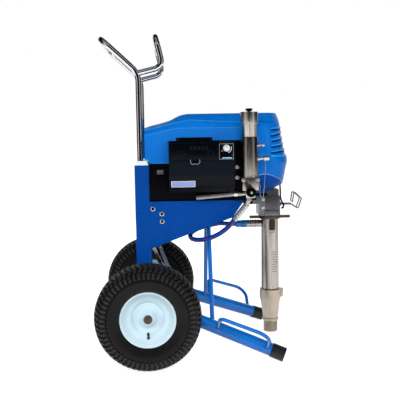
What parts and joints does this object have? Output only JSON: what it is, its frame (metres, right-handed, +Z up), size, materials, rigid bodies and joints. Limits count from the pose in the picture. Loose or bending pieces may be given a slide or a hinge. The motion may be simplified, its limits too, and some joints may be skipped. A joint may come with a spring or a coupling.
{
  "type": "airless paint sprayer",
  "caption": "Electric airless paint sprayer on a tall two-wheeled cart, with an upright piston pump, a tall filter, a control box and a telescopic handle.",
  "frame": {"origin": "middle of the machine's footprint box, on the floor", "axes": "+X forward to the pump, -Y the control box's side, +Z up"},
  "size_m": [0.6956, 0.694, 1.0435],
  "materials": {
    "deep_blue_paint": "satin",
    "blue_paint": "glossy metallic",
    "cover_blue": "satin",
    "pale_cap": "satin",
    "zinc": "zinc plated",
    "steel": "machined",
    "bush": "oiled bronze",
    "foot_rubber": "satin",
    "black_plastic": "fine texture",
    "gloss_black": "gloss",
    "board": "satin",
    "copper_lamination": "varnished",
    "cast": "as cast",
    "black_cast": "powder coat",
    "nickel": "nickel plated",
    "mesh": "woven mesh",
    "hose_violet": "smooth",
    "dark_bronze": "oxide",
    "packing": "satin",
    "tan_intake": "nickel plated",
    "tyre_black": "satin",
    "rim_pale": "gloss",
    "chrome": "mirror",
    "knob_white": "gloss",
    "switch_grey": "gloss",
    "copper_rotor": "varnished"
  },
  "bodies": {
    "cart": {"uprights": "deep_blue_paint", "frame_crossbars": "deep_blue_paint", "upright_caps": "pale_cap", "axle": "zinc", "axle_bushes": "bush", "legs": "blue_paint", "foot_caps": "foot_rubber", "struts": "blue_paint", "leg_braces": "zinc", "leg_rails": "blue_paint", "deck_plate": "deep_blue_paint", "gussets": "deep_blue_paint", "hex_bolts": "zinc", "motor_base": "black_plastic", "motor_housing": "black_cast", "stator": "copper_lamination", "end_bell": "cast", "drive_housing": "black_cast", "shaft_bearings": "steel", "shroud": "cover_blue", "front_cover": "cover_blue", "control_box": "black_plastic", "circuit_board": "board", "control_panel": "gloss_black", "power_inlet": "black_plastic", "manifold_bracket": "black_cast", "filter_manifold": "nickel", "filter_bowl": "nickel", "filter_cap": "nickel", "filter_plug": "gloss_black", "filter_element": "mesh", "fittings": "zinc", "outlet_cap": "zinc", "cap_chain": "steel", "drain_tube": "zinc", "pump_hose": "hose_violet", "bearing_housing": "cast", "jam_nut": "dark_bronze", "pump_cylinder": "nickel", "rod_packings": "packing", "intake_housing": "tan_intake"},
    "wheel_left": {"tyre_left": "tyre_black", "rim_left": "rim_pale"},
    "wheel_right": {"tyre_right": "tyre_black", "rim_right": "rim_pale"},
    "handle": {"push_handle": "chrome", "hose_hook": "chrome"},
    "snap_left": {"snap_button_left": "chrome"},
    "snap_right": {"snap_button_right": "chrome"},
    "knob": {"pressure_knob": "knob_white"},
    "prime": {"prime_handle": "black_plastic"},
    "door": {"display_door": "gloss_black"},
    "pail_bail": {"pail_hook": "chrome"},
    "rocker": {"power_switch": "switch_grey"},
    "rotor": {"motor_rotor": "copper_rotor"},
    "idler": {"idler_gear": "steel"},
    "crank": {"crankshaft": "steel"},
    "rod": {"connecting_rod": "steel"},
    "piston": {"piston_rod": "chrome"},
    "ball": {"intake_ball": "chrome"}
  },
  "joints": [
    {"name": "wheel_left_spin", "type": "hinge", "parent": "cart", "child": "wheel_left", "pos_m": [-0.1831, 0.285, 0.165], "axis": [0, 1, 0], "continuous": true},
    {"name": "wheel_right_spin", "type": "hinge", "parent": "cart", "child": "wheel_right", "pos_m": [-0.1831, -0.285, 0.165], "axis": [0, 1, 0], "continuous": true},
    {"name": "handle_slide", "type": "slide", "parent": "cart", "child": "handle", "axis": [0, 0, 1], "range_m": [-0.15, 0]},
    {"name": "snap_left_press", "type": "slide", "parent": "handle", "child": "snap_left", "axis": [0, -1, 0], "range_m": [0, 0.005], "stiffness_N_per_m": 600, "springref_m": -0.003},
    {"name": "snap_right_press", "type": "slide", "parent": "handle", "child": "snap_right", "axis": [0, 1, 0], "range_m": [0, 0.005], "stiffness_N_per_m": 600, "springref_m": -0.003},
    {"name": "pressure_knob_turn", "type": "hinge", "parent": "cart", "child": "knob", "pos_m": [0.0699, -0.232, 0.6765], "axis": [0, -1, 0], "range_deg": [-135, 135]},
    {"name": "prime_valve_turn", "type": "hinge", "parent": "cart", "child": "prime", "pos_m": [0.1429, -0.252, 0.539], "axis": [0, -1, 0], "range_deg": [0, 90]},
    {"name": "display_door_open", "type": "hinge", "parent": "cart", "child": "door", "pos_m": [-0.0301, -0.226, 0.7065], "axis": [-1, 0, 0], "range_deg": [0, 110]},
    {"name": "pail_hook_swing", "type": "hinge", "parent": "cart", "child": "pail_bail", "pos_m": [0.2709, 0, 0.477], "axis": [0, -1, 0], "range_deg": [0, 45]},
    {"name": "power_switch_rock", "type": "hinge", "parent": "cart", "child": "rocker", "pos_m": [-0.1371, -0.153, 0.602], "axis": [1, 0, 0], "range_deg": [-10, 10]},
    {"name": "motor_spin", "type": "hinge", "parent": "cart", "child": "rotor", "pos_m": [-0.0131, 0, 0.665], "axis": [1, 0, 0], "continuous": true},
    {"name": "idler_spin", "type": "hinge", "parent": "cart", "child": "idler", "pos_m": [0.1089, 0.04219, 0.63911], "axis": [1, 0, 0], "continuous": true},
    {"name": "crank_spin", "type": "hinge", "parent": "cart", "child": "crank", "pos_m": [0.1569, 0, 0.605], "axis": [1, 0, 0], "continuous": true},
    {"name": "piston_slide", "type": "slide", "parent": "cart", "child": "piston", "axis": [0, 0, 1], "range_m": [0, 0.06]},
    {"name": "rod_swing", "type": "hinge", "parent": "piston", "child": "rod", "pos_m": [0.2379, 0, 0.47], "axis": [1, 0, 0], "range_deg": [-16.5, 16.5]},
    {"name": "intake_ball_lift", "type": "slide", "parent": "cart", "child": "ball", "axis": [0, 0, 1], "range_m": [0, 0.005]}
  ],
  "couplings": [
    {"joint": "idler_spin", "follows": "motor_spin", "ratio": -0.24528},
    {"joint": "crank_spin", "follows": "motor_spin", "ratio": 0.071541}
  ]
}
